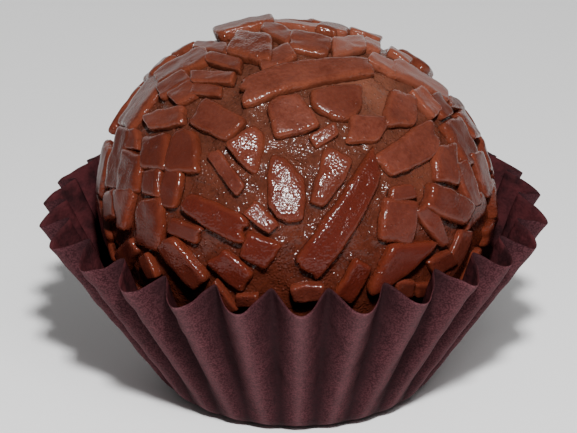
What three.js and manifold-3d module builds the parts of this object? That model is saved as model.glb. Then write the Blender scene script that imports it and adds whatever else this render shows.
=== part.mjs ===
// A brigadeiro in its paper case.
//
// The sweet is a ball of soft chocolate fudge, rolled in flat flakes of milk
// chocolate that stick to it all round. It has settled a little into a small
// fluted case of thin dark paper, and the two are separate things: the ball can
// be lifted out of its case.
//
// Millimetres, +Z up, the front faces -Y. The case stands on Z = 0.

import * as THREE from "three";
import { mergeVertices } from "three/addons/utils/BufferGeometryUtils.js";
import Module from "manifold-3d";

// ---------------------------------------------------------------- driving dimensions

// The fudge ball, measured from its widest level.
const BALL_CENTRE = new THREE.Vector3(0.05, 0, 15.7);
const BALL_SIDE = 16.5;       // half its width
const BALL_ABOVE = 15.35;     // from the widest level to the top
const BALL_BELOW = 15.7;      // to where the underside would end if it weren't flat
const BALL_SLACK = 1.7;       // power of the sagging underside, 2 would be an ellipse
const BALL_UNEVEN = 0.014;    // lumps, as a share of the radius
const FLOOR_GAP = 0.3;        // between the ball and the case's floor
const BALL_FACETS = [30, 16]; // round it and from top to bottom

// The chocolate flakes.
const FLAKE_SINK = 0.55;      // how deep a flake is bedded in the fudge
const FLAKE_RISE = [0.55, 0.78];    // how far a scattered flake's face stands above the fudge
const FLAKE_LEAN = 0.2;       // most that one end or side of a flake stands above its middle
const FLAKE_REACH = 1.0;      // how far the flakes reach beyond the fudge all round
const SHORT_FLAKE = 3.6;      // a flake up to this long is flat
const FLAKE_STEP = 4.2;       // length of one flat stretch of a longer flake, at most
const FLAKE_WAIST = [1, 1.25];      // how much wider a flake is in the middle
const FLAKE_SKEW = [-0.25, 0.25];   // slant of its ends
const FLAKE_SIZES = { length: [2.4, 5.2], width: [1.5, 3.0], taper: [0.55, 1.05] };
const FLAKE_SITES = 190;      // places on the ball that scattered flakes may take
const SITE_JITTER = { height: 0.03, around: 0.08 };
const FLAKE_ROOM = 2.15;      // nearest centres of a laid and a scattered flake
const LAID_SIDE = 0.5;        // scattered flakes keep off directions that face the front more
const LOWEST_FLAKE = -0.6;    // height of the direction below which the base is bare

// The direction from which the hand-laid flakes are described.
const FRONT_TILT = THREE.MathUtils.degToRad(23.3);
const FRONT_DISTANCE = 294;
const MOST_OBLIQUE = 0.4;     // slope beyond which a flake isn't lengthened any further

// The paper case.
const PAPER = 0.22;           // thickness of the paper
const CASE_GAP = 0.58;        // between the ball and the case's inner folds
const CASE_GIVE = 0.3;        // how softly the ball pushes a fold out
const FLUTES = 26;
const FLOOR_RADIUS = 9.5;
const CORNER_LENGTH = 3.2;    // of the curve from the floor up to the wall
const SLANT_LENGTH = 19.9;    // of the whole wall, corner included
const RIDGE_LEAN = THREE.MathUtils.degToRad(55.9);
const FOLD_LEAN = THREE.MathUtils.degToRad(64.6);
const FOLD_ROUND = 0.16;      // 0 is a knife-sharp inner fold
const FLUTE_PHASE = THREE.MathUtils.degToRad(0.9);  // of the ridge nearest the front
const FLUTE_STRAY = THREE.MathUtils.degToRad(1.7);  // how far ridges stray from an even spacing
const SWAY = 0.014;           // the whole wall leans a little to one side, radians
const WOBBLE = 0.008;         // and its lean varies from flute to flute, radians
const COLUMNS_PER_FLUTE = 6;
const WALL_ROWS = [0, 0.085, 0.17, 0.55, 1];

// ---------------------------------------------------------------- seeded draws

let seed = 20177;

function draw(low = 0, high = 1) {
  seed = (seed * 48271) % 2147483647;
  return low + (high - low) * (seed / 2147483647);
}

// ---------------------------------------------------------------- the fudge ball

// The underside is pressed into the case, so flakes stand out less there: 1 at
// the widest level and above, less the further down a direction points.
function pressed(height) {
  return 1 + 0.75 * Math.min(height, 0);
}

// Distance from the ball's centre to the skin of the fudge in a unit direction.
function skinRadius(direction) {
  const level = Math.hypot(direction.x, direction.y);
  const around = Math.atan2(direction.y, direction.x);
  const under = direction.z < 0;
  const power = under ? BALL_SLACK : 2;
  const reach = under ? BALL_BELOW : BALL_ABOVE;
  const round = (level / BALL_SIDE) ** power + (Math.abs(direction.z) / reach) ** power;
  const lumps = Math.sin(3 * around + 1.1) + Math.sin(5 * around - 2 * direction.z);
  const lopsided = -3.6 * direction.x * Math.max(direction.z, 0);
  const radius = round ** (-1 / power) * (1 + BALL_UNEVEN * (level * lumps / 2 + lopsided));
  const flat = (BALL_CENTRE.z - PAPER - FLOOR_GAP) / Math.max(-direction.z, 1e-9);
  return Math.min(radius, flat);
}

// Half the width of the ball, flakes included, at a height above the floor.
function ballOutline(height) {
  const offset = height - BALL_CENTRE.z;
  const power = offset < 0 ? BALL_SLACK : 2;
  const reach = offset < 0 ? BALL_BELOW : BALL_ABOVE;
  const share = Math.min(Math.abs(offset) / reach, 1);
  return BALL_SIDE * (1 - share ** power) ** (1 / power) + FLAKE_REACH * pressed(offset / reach);
}

function fudgeBall() {
  const ball = new THREE.SphereGeometry(1, ...BALL_FACETS).rotateX(Math.PI / 2);
  const place = ball.attributes.position;
  const point = new THREE.Vector3();
  for (let i = 0; i < place.count; i += 1) {
    point.fromBufferAttribute(place, i).normalize();
    point.multiplyScalar(skinRadius(point)).add(BALL_CENTRE);
    place.setXYZ(i, point.x, point.y, point.z);
  }
  return ball;
}

// ---------------------------------------------------------------- flakes

// The flakes on the front, as seen from in front and FRONT_TILT above, one to a
// row: the middle across and up from the ball's centre, length, width at the
// first end and at the last, turn of the long side in degrees, and how far the
// face stands above the fudge. The first end is the left one, or the lower one.
const LAID_FLAKES = [
  [1.1, 11.8, 11.8, 2.5, 1.7, 14.5, 0.8],
  [4.8, 0.05, 13.9, 2.9, 1.8, 57.5, 0.75],
  [-0.95, 1.55, 6.1, 2.9, 2.9, 90, 0.7],
  [2.95, 2.45, 5.0, 2.2, 2.8, 70, 0.7],
  [-3.8, 5.0, 3.4, 2.9, 2.9, -47, 0.6],
  [-3.05, -1.0, 2.9, 1.6, 1.2, -43, 0.6],
  [2.4, 6.15, 2.4, 1.3, 1.1, 30, 0.5],
  [-0.4, 8.1, 3.9, 3.2, 3.3, 17, 0.8],
  [3.6, 9.1, 4.6, 2.6, 3.2, 5, 0.7],
  [-6.95, 7.55, 4.5, 2.8, 2.7, -28, 0.8],
  [-6.15, 3.05, 4.2, 1.3, 1.25, -53, 0.7],
  [-7.55, -0.75, 6.4, 1.5, 2.5, -28, 0.8],
  [10.15, 4.95, 5.6, 2.5, 3.4, 30, 0.7],
  [6.35, 6.85, 3.6, 2.5, 2.5, 0, 0.6],
  [9.3, 8.6, 3.0, 2.6, 2.4, 80, 0.7],
  [11.3, 9.2, 2.8, 1.2, 1.2, -50, 0.7],
  [12.5, 8.8, 2.3, 0.9, 0.9, -60, 0.6],
  [13.8, 9.0, 1.6, 1.2, 1.0, 0, 0.7],
  [15.0, 7.2, 2.8, 1.4, 1.3, -60, 0.7],
  [11.0, 11.2, 5.7, 1.6, 1.5, -28, 0.7],
  [9.0, 13.1, 2.1, 0.9, 0.8, -38, 0.6],
  [7.5, 12.5, 2.6, 1.0, 1.1, -25, 0.6],
  [6.0, 15.0, 2.8, 0.9, 0.9, -18, 0.7],
  [4.6, 14.2, 2.9, 1.6, 1.5, 10, 0.7],
  [6.5, 14.1, 1.7, 1.2, 1.1, -20, 0.6],
  [1.0, 15.8, 6.5, 1.0, 1.0, -8, 0.6],
  [-4.6, 16.0, 5.0, 1.3, 1.2, 18, 1.0],
  [-4.0, 14.3, 3.5, 2.3, 2.3, -10, 1.1],
  [-1.7, 15.3, 2.6, 1.2, 1.1, -25, 0.7],
  [-1.75, 12.95, 3.2, 1.5, 1.7, 30, 0.7],
  [1.2, 14.3, 3.5, 1.6, 1.4, -10, 0.7],
  [-7.5, 14.0, 2.9, 1.0, 1.0, -8, 0.7],
  [-6.3, 12.7, 2.9, 1.1, 1.1, -15, 0.7],
  [-7.3, 11.3, 3.6, 1.1, 1.1, 0, 0.7],
  [-9.8, 13.7, 2.2, 1.0, 1.0, 30, 0.6],
  [-10.1, 12.4, 5.0, 1.2, 1.4, 30, 0.7],
  [-13.4, 9.8, 6.5, 2.0, 1.9, 55, 0.6],
  [-10.7, 10.7, 2.9, 1.2, 1.2, 35, 0.6],
  [-9.8, 9.9, 2.3, 1.5, 1.6, 35, 0.6],
  [-11.6, 7.7, 3.3, 1.5, 1.6, 10, 0.7],
  [-7.8, 10.1, 2.6, 1.2, 1.1, -5, 0.5],
  [-12.5, 4.8, 3.1, 2.2, 2.3, 90, 0.7],
  [-10.0, 4.9, 3.8, 3.0, 1.8, 90, 0.7],
  [-14.3, 5.8, 1.7, 1.1, 1.1, 90, 0.6],
  [-15.6, 4.2, 5.2, 1.3, 1.2, 75, 0.7],
  [-14.7, 3.0, 3.7, 1.9, 2.1, 80, 0.7],
  [-12.7, 2.1, 2.4, 1.8, 1.9, 90, 0.6],
  [-11.0, 1.6, 3.3, 1.6, 1.7, 80, 0.6],
  [-13.0, -1.5, 4.4, 2.4, 2.3, 88, 0.7],
  [-15.2, -0.2, 3.5, 0.8, 2.0, 90, 0.7],
  [-9.8, -2.1, 2.8, 1.4, 1.5, -20, 0.6],
  [-10.1, -5.0, 4.8, 1.8, 1.7, -50, 1.0],
  [-12.9, -5.2, 2.1, 0.8, 0.9, -65, 0.7],
  [-6.5, -8.0, 3.0, 1.1, 1.1, -55, 0.8],
  [-4.3, -8.2, 1.9, 1.2, 1.2, 0, 0.7],
  [-3.35, -3.9, 3.0, 2.4, 2.6, -25, 0.6],
  [-5.75, -5.55, 3.6, 2.0, 1.9, -42, 0.7],
  [0.9, -7.6, 2.7, 1.4, 1.4, 5, 1.0],
  [4.95, -6.6, 3.7, 1.8, 1.7, 60, 0.6],
  [9.0, -4.6, 7.2, 2.1, 3.1, 42, 0.9],
  [9.0, -1.3, 3.8, 3.1, 3.1, 82, 0.7],
  [9.2, 1.2, 2.2, 1.3, 1.3, 10, 0.6],
  [12.0, -1.7, 3.9, 1.8, 0.9, -60, 0.7],
  [13.7, 0.1, 4.1, 2.3, 2.1, -25, 1.1],
  [13.15, 3.75, 3.4, 2.0, 1.9, 90, 0.7],
  [14.6, 5.7, 4.3, 1.8, 1.6, -65, 0.7],
  [15.0, 2.0, 4.0, 1.2, 1.2, -72, 0.7],
  [9.4, -7.2, 1.7, 1.5, 1.5, 0, 0.6],
  [11.3, -7.3, 1.9, 1.3, 1.4, 0, 0.6],
  [12.7, -4.9, 2.3, 1.4, 1.4, 30, 0.6],
  [14.0, -4.3, 4.7, 1.1, 1.1, 66, 0.5],
  [16.3, 2.8, 3.9, 1.2, 0.9, -72, 0.7],
];

// Corners broken off those flakes: the row, the direction that the break faces,
// in degrees from across towards up, and how far from the middle it runs.
const BREAKS = [
  [1, 5, 2.95],
  [2, 46, 1.9],
  [2, 227, 2.2],
  [3, -41, 1.15],
  [4, -7, 0.75],
  [7, 36, 1.65],
  [8, -45, 1.85],
  [8, 238, 1.4],
  [9, -47, 1.95],
  [11, 135, 2.75],
  [12, -37, 1.9],
  [13, -37, 1.25],
  [59, 92, 1.3],
  [59, 154, 1.1],
];

const TOWARD = new THREE.Vector3(0, -Math.cos(FRONT_TILT), Math.sin(FRONT_TILT));
const UPWARD = new THREE.Vector3(0, Math.sin(FRONT_TILT), Math.cos(FRONT_TILT));
const ACROSS = new THREE.Vector3(1, 0, 0);

function fromFront(across, up, toward) {
  return new THREE.Vector3()
    .addScaledVector(ACROSS, across)
    .addScaledVector(UPWARD, up)
    .addScaledVector(TOWARD, toward);
}

// Where on the ball a flake of the table lies: what is nearer looks larger, so
// its true offsets are smaller, and a side that slopes away looks shorter.
function laidFlake([across, up, length, firstWidth, lastWidth, turn, rise], row) {
  let toward = 0;
  let near = 1;
  let outward = ACROSS;
  for (let pass = 0; pass < 5; pass += 1) {
    near = 1 - toward / FRONT_DISTANCE;
    outward = fromFront(across * near, up * near, toward).normalize();
    const radius = skinRadius(outward) + rise;
    const aside = Math.hypot(across, up) * near;
    toward = Math.sqrt(Math.max(radius * radius - aside * aside, 0));
  }
  const slope = Math.max(outward.dot(TOWARD), MOST_OBLIQUE);
  const onSkin = (angle) => {
    const flat = fromFront(Math.cos(angle), Math.sin(angle), 0);
    return flat.addScaledVector(TOWARD, -flat.dot(outward) / slope).multiplyScalar(near);
  };
  const angle = THREE.MathUtils.degToRad(turn);
  return {
    outward, firstWidth, lastWidth, length,
    along: onSkin(angle), aside: onSkin(angle + Math.PI / 2),
    rise: rise * pressed(outward.z), lean: [draw(-1, 1), draw(-1, 1)],
    waist: draw(...FLAKE_WAIST), skew: draw(...FLAKE_SKEW),
    breaks: BREAKS.filter(([broken]) => broken === row).map(([, facing, distance]) => {
      const offset = THREE.MathUtils.degToRad(facing - turn);
      return { forward: Math.cos(offset), sideways: Math.sin(offset), distance };
    }),
  };
}

// A flake at a place of an even spiral over the whole ball, turned at random.
function scatteredFlake(site) {
  const turnPerSite = Math.PI * (3 - Math.sqrt(5));
  const height = 1 - 2 * (site + 0.5) / FLAKE_SITES + draw(-1, 1) * SITE_JITTER.height;
  const around = site * turnPerSite + draw(-1, 1) * SITE_JITTER.around;
  const level = Math.sqrt(Math.max(1 - height * height, 0));
  const outward = new THREE.Vector3(level * Math.cos(around), level * Math.sin(around), height);
  const east = new THREE.Vector3(-Math.sin(around), Math.cos(around), 0);
  const along = east.applyAxisAngle(outward, draw(0, Math.PI));
  const width = draw(...FLAKE_SIZES.width);
  return {
    outward, along, aside: along.clone().cross(outward).negate(),
    length: draw(...FLAKE_SIZES.length),
    firstWidth: width, lastWidth: width * draw(...FLAKE_SIZES.taper),
    rise: draw(...FLAKE_RISE) * pressed(height), lean: [draw(-1, 1), draw(-1, 1)],
    waist: draw(...FLAKE_WAIST), skew: draw(...FLAKE_SKEW), breaks: [],
  };
}

function allFlakes() {
  const laid = LAID_FLAKES.map(laidFlake);
  const taken = laid.map((flake) => flake.outward.clone().multiplyScalar(BALL_SIDE));
  const scattered = [];
  for (let site = 0; site < FLAKE_SITES; site += 1) {
    const flake = scatteredFlake(site);
    const middle = flake.outward.clone().multiplyScalar(BALL_SIDE);
    const room = Math.min(...taken.map((other) => other.distanceTo(middle)));
    const inView = flake.outward.dot(TOWARD) > LAID_SIDE;
    if (room > FLAKE_ROOM && !inView && flake.outward.z > LOWEST_FLAKE) scattered.push(flake);
  }
  return [...laid, ...scattered];
}

// A plate that follows the ball: a row of slightly different widths, its face
// above the fudge and its back sunk in it.
function flakePlate(flake) {
  const { outward, along, aside, length, firstWidth, lastWidth, rise, lean, waist, skew } = flake;
  const trueLength = length * along.length();
  const steps = trueLength < SHORT_FLAKE ? 1 : Math.max(2, Math.round(trueLength / FLAKE_STEP));
  const middle = outward.clone().multiplyScalar(skinRadius(outward));
  const rings = [];
  for (let step = 0; step <= steps; step += 1) {
    const run = step / steps;
    const inner = step > 0 && step < steps ? waist : 1;
    const width = (firstWidth + (lastWidth - firstWidth) * run) * inner;
    rings.push([-1, 1].map((side) => {
      const forward = (run - 0.5) * length + side * skew * width * (run - 0.5);
      const sideways = side * width / 2;
      const point = middle.clone().addScaledVector(along, forward).addScaledVector(aside, sideways);
      const direction = point.clone().normalize();
      const skin = skinRadius(direction);
      const leaning = FLAKE_LEAN * pressed(direction.z) * (lean[0] * (2 * run - 1) + lean[1] * side);
      const face = skin + rise + leaning / 2;
      const at = (radius) => direction.clone().multiplyScalar(radius).add(BALL_CENTRE);
      return { face: at(face), back: at(skin - FLAKE_SINK) };
    }));
  }
  const corners = [];
  const quad = (a, b, c, d) => corners.push(a, b, c, a, c, d);
  for (let step = 0; step < steps; step += 1) {
    const [l0, r0] = rings[step];
    const [l1, r1] = rings[step + 1];
    quad(l0.face, l1.face, r1.face, r0.face);
    quad(l0.back, r0.back, r1.back, l1.back);
    quad(l0.back, l1.back, l1.face, l0.face);
    quad(r0.back, r0.face, r1.face, r1.back);
  }
  const [first0, first1] = rings[0];
  const [last0, last1] = rings[steps];
  quad(first0.back, first0.face, first1.face, first1.back);
  quad(last0.back, last1.back, last1.face, last0.face);
  return new THREE.BufferGeometry().setFromPoints(corners);
}

// ---------------------------------------------------------------- joining

const wasm = await Module();
wasm.setup();

function toSolid(geometry) {
  const bare = geometry.clone();
  bare.deleteAttribute("normal");
  bare.deleteAttribute("uv");
  const merged = mergeVertices(bare, 1e-5);
  return new wasm.Manifold(new wasm.Mesh({
    numProp: 3,
    vertProperties: Float32Array.from(merged.attributes.position.array),
    triVerts: Uint32Array.from(merged.index.array),
  }));
}

function toGeometry(solid) {
  const { vertProperties, triVerts } = solid.getMesh();
  const geometry = new THREE.BufferGeometry();
  geometry.setAttribute("position", new THREE.BufferAttribute(vertProperties, 3));
  geometry.setIndex(new THREE.BufferAttribute(triVerts, 1));
  return geometry;
}

// Cuts each broken corner off a flake, by a plane through the ball's centre and
// the break, as the flake's own sides are. In the flake's plane the break is the
// line forward * x + sideways * y = distance.
function withBreaks(solid, { outward, along, aside, breaks }) {
  const perForward = aside.clone().cross(outward);
  const perSideways = outward.clone().cross(along);
  const perDistance = along.clone().cross(aside).divideScalar(skinRadius(outward));
  return breaks.reduce((rest, { forward, sideways, distance }) => {
    const kept = perDistance.clone().multiplyScalar(distance)
      .addScaledVector(perForward, -forward).addScaledVector(perSideways, -sideways).normalize();
    return rest.trimByPlane(kept.toArray(), kept.dot(BALL_CENTRE));
  }, solid);
}

// The ball with its flakes. Only the largest body is kept, so that neither a
// loose scrap nor a bubble sealed between flakes is left.
function brigadeiroGeometry() {
  const joined = allFlakes().map((flake) => withBreaks(toSolid(flakePlate(flake)), flake))
    .reduce((whole, flake) => whole.add(flake), toSolid(fudgeBall()));
  const bodies = joined.decompose().sort((a, b) => b.volume() - a.volume());
  return toGeometry(bodies[0]);
}

// ---------------------------------------------------------------- the paper case

// How far a place round the wall is from an inner fold, 0, towards an outer
// ridge, 1: ridges are round and folds are nearly sharp.
function fluteShape(around) {
  const strayed = FLUTE_STRAY * Math.cos(5 * around) * Math.sin(around) ** 2;
  const wave = Math.cos((around + strayed - FLUTE_PHASE) * FLUTES / 2);
  const rounded = Math.sqrt(wave * wave + FOLD_ROUND * FOLD_ROUND);
  const most = Math.sqrt(1 + FOLD_ROUND * FOLD_ROUND);
  return (rounded - FOLD_ROUND) / (most - FOLD_ROUND);
}

// A point of the paper's outer face: around in radians from the front, and
// climb from 0 at the floor to 1 at the rim. The paper is as long at a ridge as
// at a fold, so the ridges, which lean further out, end a little lower.
function wallPoint(around, climb) {
  const crooked = SWAY * Math.sin(around + 0.4) + WOBBLE * Math.sin(around * 7 + 2);
  const lean = FOLD_LEAN + (RIDGE_LEAN - FOLD_LEAN) * fluteShape(around) + crooked;
  const length = climb * SLANT_LENGTH;
  const curved = Math.min(length, CORNER_LENGTH);
  const straight = length - curved;
  const turned = lean * curved / CORNER_LENGTH;
  const bend = CORNER_LENGTH / lean;
  const free = FLOOR_RADIUS + bend * Math.sin(turned) + straight * Math.cos(lean);
  const height = bend * (1 - Math.cos(turned)) + straight * Math.sin(lean);
  const held = ballOutline(height) + CASE_GAP + PAPER;
  const radius = (free + held + Math.hypot(free - held, CASE_GIVE)) / 2;
  return new THREE.Vector3(radius * Math.sin(around), -radius * Math.cos(around), height);
}

function inward(around, climb) {
  const step = 1e-3;
  const up = climb > 0.5 ? -step : step;
  const here = wallPoint(around, climb);
  const beside = wallPoint(around + step, climb).sub(here);
  const above = wallPoint(around, climb + up).sub(here).multiplyScalar(Math.sign(up));
  return above.cross(beside).normalize();
}

function paperCaseGeometry() {
  const columns = FLUTES * COLUMNS_PER_FLUTE;
  const outer = [];
  const inner = [];
  for (const climb of WALL_ROWS) {
    const outerRow = [];
    const innerRow = [];
    for (let column = 0; column < columns; column += 1) {
      const around = FLUTE_PHASE + 2 * Math.PI * column / columns;
      const point = wallPoint(around, climb);
      outerRow.push(point);
      innerRow.push(point.clone().addScaledVector(inward(around, climb), PAPER));
    }
    outer.push(outerRow);
    inner.push(innerRow);
  }
  const corners = [];
  const quad = (a, b, c, d) => corners.push(a, b, c, a, c, d);
  const bottom = new THREE.Vector3(0, 0, 0);
  const floor = new THREE.Vector3(0, 0, PAPER);
  const top = WALL_ROWS.length - 1;
  for (let column = 0; column < columns; column += 1) {
    const next = (column + 1) % columns;
    for (let row = 0; row < top; row += 1) {
      quad(outer[row][column], outer[row][next], outer[row + 1][next], outer[row + 1][column]);
      quad(inner[row][column], inner[row + 1][column], inner[row + 1][next], inner[row][next]);
    }
    quad(outer[top][column], outer[top][next], inner[top][next], inner[top][column]);
    corners.push(bottom, outer[0][next], outer[0][column]);
    corners.push(floor, inner[0][column], inner[0][next]);
  }
  return new THREE.BufferGeometry().setFromPoints(corners);
}

// ---------------------------------------------------------------- the part

function piece(name, geometry, finish) {
  const mesh = new THREE.Mesh(geometry, new THREE.MeshStandardMaterial(finish));
  mesh.name = name;
  return mesh;
}

const part = new THREE.Group();
part.add(piece("brigadeiro", brigadeiroGeometry(), { color: 0x6e2f1c, roughness: 0.35, metalness: 0 }));
part.add(piece("paper_case", paperCaseGeometry(), { color: 0x4a2c31, roughness: 0.85, metalness: 0 }));

// The origin is under the middle of the whole.
part.updateMatrixWorld(true);
const whole = new THREE.Box3().setFromObject(part, true);
part.position.set(-(whole.min.x + whole.max.x) / 2, -(whole.min.y + whole.max.y) / 2, -whole.min.z);

export default part;
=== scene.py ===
# %% [markdown]
# # A brigadeiro in its paper case
#
# The real thing is three materials in two separate parts: soft chocolate fudge
# rolled into a ball, flat flakes of milk chocolate stuck all over it, and a small
# fluted cup of thin dark paper that the ball has settled into.
#
# The frame comes first. It holds the measured solids, in metres, with +Z up and
# the front towards -Y, and everything made here goes exactly where they are.

# %% Load the frame
import math

import bpy
import numpy as np
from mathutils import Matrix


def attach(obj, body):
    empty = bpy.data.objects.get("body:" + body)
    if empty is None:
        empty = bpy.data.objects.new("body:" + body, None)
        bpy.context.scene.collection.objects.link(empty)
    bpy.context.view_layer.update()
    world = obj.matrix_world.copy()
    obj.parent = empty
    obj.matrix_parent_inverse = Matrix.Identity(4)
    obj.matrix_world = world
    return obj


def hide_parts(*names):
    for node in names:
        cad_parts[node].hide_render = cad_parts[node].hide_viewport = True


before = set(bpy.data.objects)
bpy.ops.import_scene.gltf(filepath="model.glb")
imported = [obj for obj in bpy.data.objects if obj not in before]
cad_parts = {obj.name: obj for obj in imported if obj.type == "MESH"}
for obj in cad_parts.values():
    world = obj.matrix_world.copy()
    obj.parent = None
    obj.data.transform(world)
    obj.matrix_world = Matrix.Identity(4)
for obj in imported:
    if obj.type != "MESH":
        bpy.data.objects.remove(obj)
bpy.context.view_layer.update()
MM = 0.001

# %% [markdown]
# ## The camera
#
# The camera is far away with a long lens, and looks down on the sweet by a little
# more than twenty degrees. Its lens follows from the width of the view, which is
# easier to change later than a focal length.

# %% Camera
AIM = np.array([-0.4, 0.0, 14.7])
CAMERA_DISTANCE = 293.8
CAMERA_RISE = math.radians(23.43)
VIEW_WIDTH = 49.2


def new_object(name, data):
    """An object that shows the data, put into the scene."""
    thing = bpy.data.objects.new(name, data)
    bpy.context.scene.collection.objects.link(thing)
    return thing


def aim_at(thing, start, target):
    """Puts a camera or lamp at start, in mm, with its -Z axis towards target."""
    ray = np.subtract(target, start)
    thing.location = np.multiply(start, MM)
    thing.rotation_euler = (math.atan2(math.hypot(ray[0], ray[1]), -ray[2]), 0.0,
                            math.atan2(-ray[0], ray[1]))


camera_data = bpy.data.cameras.new("front camera")
camera_data.angle = 2 * math.atan(VIEW_WIDTH / 2 / CAMERA_DISTANCE)
camera = new_object("front camera", camera_data)
to_camera = np.array([0.0, -math.cos(CAMERA_RISE), math.sin(CAMERA_RISE)])
aim_at(camera, AIM + CAMERA_DISTANCE * to_camera, AIM)
bpy.context.scene.camera = camera
print("lens", round(camera_data.lens, 1), "mm")

# %% [markdown]
# ## The light
#
# A highlight on glossy chocolate is a mirror picture of a lamp, so the lamps are
# panels with a real size. A small key lamp, high in front, makes the glitter, and
# a larger, weaker soft box beside it softens its shadows. A wide low panel behind
# gives the crown and the steep sides their pale sheen, and the light of a pale
# room fills the rest.

# %% Lights
def soft_box(name, place, size, watts, target=(0, 0, 15)):
    """A rectangular lamp at a place in mm, turned towards the middle of the sweet."""
    data = bpy.data.lights.new(name, "AREA")
    data.shape = "RECTANGLE"
    data.size, data.size_y = (side * MM for side in size)
    data.energy = watts
    aim_at(new_object(name, data), place, target)


KEY_PLACE = np.array([12.0, -212.0, 228.0])
soft_box("key lamp", KEY_PLACE, size=(25, 22), watts=1.62)
soft_box("soft box beside it", (55, -215, 238), size=(110, 90), watts=0.24)
soft_box("back panel", (-20, 250, 90), size=(460, 150), watts=0.22, target=(0, 0, 25))
world = bpy.data.worlds.new("pale room")
bpy.context.scene.world = world
world.use_nodes = True
room = world.node_tree.nodes["Background"]
room.inputs["Color"].default_value = (1.0, 0.99, 0.98, 1)
room.inputs["Strength"].default_value = 0.12
print("lamps", bpy.data.lights.keys())

# %% [markdown]
# ## Helpers for meshes
#
# Every surface here is a grid of points worked out from two parameters. Its faces
# follow from its rows and columns alone, so one helper serves the fudge, the
# flakes and the paper. Each row closes into a ring, and a single pole point closes
# the first ring and the last.

# %% Grids of rings
def ring_faces(rings, columns):
    """Quads between each ring and the next, then a fan of triangles at either end.

    Ring r holds the points r * columns onwards. The pole of ring 0 comes after
    them all and the pole of the last ring after that.
    """
    here = np.arange(columns)
    beside = np.roll(here, -1)
    ring = np.arange(rings - 1)[:, None] * columns
    next_ring = ring + columns
    quads = np.stack([ring + here, next_ring + here, next_ring + beside, ring + beside], -1)
    last = (rings - 1) * columns
    pole = np.full(columns, rings * columns)
    first_fan = np.stack([here, beside, pole], -1)
    last_fan = np.stack([last + beside, last + here, pole + 1], -1)
    return quads.reshape(-1, 4), np.concatenate([first_fan, last_fan])


def make_piece(name, points, quads, fans, **marks):
    """A smooth-shaded object from points in mm. Each mark is a number per point."""
    mesh = bpy.data.meshes.new(name)
    corners = np.concatenate([quads.ravel(), fans.ravel()])
    sizes = np.repeat([4, 3], [len(quads), len(fans)])
    mesh.vertices.add(len(points))
    mesh.vertices.foreach_set("co", (points * MM).astype(np.float32).ravel())
    mesh.loops.add(len(corners))
    mesh.loops.foreach_set("vertex_index", corners.astype(np.int32))
    mesh.polygons.add(len(sizes))
    mesh.polygons.foreach_set("loop_start", (np.cumsum(sizes) - sizes).astype(np.int32))
    mesh.polygons.foreach_set("use_smooth", np.ones(len(sizes), bool))
    mesh.update(calc_edges=True)
    for label, values in marks.items():
        layer = mesh.attributes.new(label, "FLOAT", "POINT")
        layer.data.foreach_set("value", values.astype(np.float32).ravel())
    print(name, "has", 2 * len(quads) + len(fans), "triangles")
    return new_object(name, mesh)


# %% [markdown]
# Uneven surfaces need smooth noise that is the same on every run. A sum of waves
# in random directions does it: each wave is one sine of the point's position
# along its own direction, and many together look like gentle lumps.

# %% Smooth noise
def unit(vectors):
    """Each vector divided by its own length."""
    return vectors / np.linalg.norm(vectors, axis=-1, keepdims=True)


def lumps(points, wavelength, seed, waves=24):
    """Smooth noise, mostly -1 to 1: sines along random directions, added and scaled."""
    draws = np.random.default_rng(seed)
    heading = unit(draws.normal(size=(waves, 3)))
    pitch = 2 * np.pi / (wavelength * draws.uniform(0.7, 1.4, waves))
    phase = draws.uniform(0, 2 * np.pi, waves)
    total = np.zeros(points.shape[:-1])
    for way, rate, start in zip(heading, pitch, phase):
        total += np.sin(points @ way * rate + start)
    return total / math.sqrt(waves)


print("noise at three places", np.round(lumps(np.eye(3), 1.0, 1), 2))

# %% [markdown]
# ## The floor
#
# A plain pale floor gives the sweet something to stand on and catches its shadow.
# It isn't part of the object.

# %% Floor
FLOOR_HALF = 1500
FLOOR_DROP = 0.05
floor_points = np.array([(-1, -1, 0), (1, -1, 0), (1, 1, 0), (-1, 1, 0)]) * FLOOR_HALF
floor = make_piece("floor", floor_points - (0, 0, FLOOR_DROP),
                   quads=np.array([[0, 1, 2, 3]]), fans=np.zeros((0, 3), int))
floor_finish = bpy.data.materials.new("pale floor")
floor_finish.use_nodes = True
floor_shader = floor_finish.node_tree.nodes["Principled BSDF"]
floor_shader.inputs["Base Color"].default_value = (0.95, 0.95, 0.95, 1)
floor_shader.inputs["Roughness"].default_value = 0.8
floor.data.materials.append(floor_finish)

# %% [markdown]
# ## The form of the fudge ball
#
# A hand-rolled ball is never a true sphere: it is a little lopsided, and its soft
# underside has slumped into the case. The distance from its centre to its skin is
# therefore a function of direction. The ball pushes the paper out, so the wall of
# the case needs its outline too. Low down, where the paper shades it, the colours
# are painted darker and redder as shade, so they need to know how low a place
# lies.

# %% Skin of the ball
BALL_CENTRE = np.array([0.05, 0.0, 15.7])
BALL_SIDE, BALL_ABOVE, BALL_BELOW = 16.5, 15.35, 15.7
BALL_SLACK = 1.7
BALL_UNEVEN, BALL_LOPSIDED = 0.014, 3.6
PRESSED_SHARE = 0.75
FLOOR_GAP = 0.3
PAPER = 0.22
FLAKE_REACH = 1.0
LOW_STARTS, LOW_ENDS = 0.9, 0.15


def pressed(height):
    """1 from the widest level up, and less the further down, where the paper presses."""
    return 1 + PRESSED_SHARE * np.minimum(height, 0)


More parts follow.
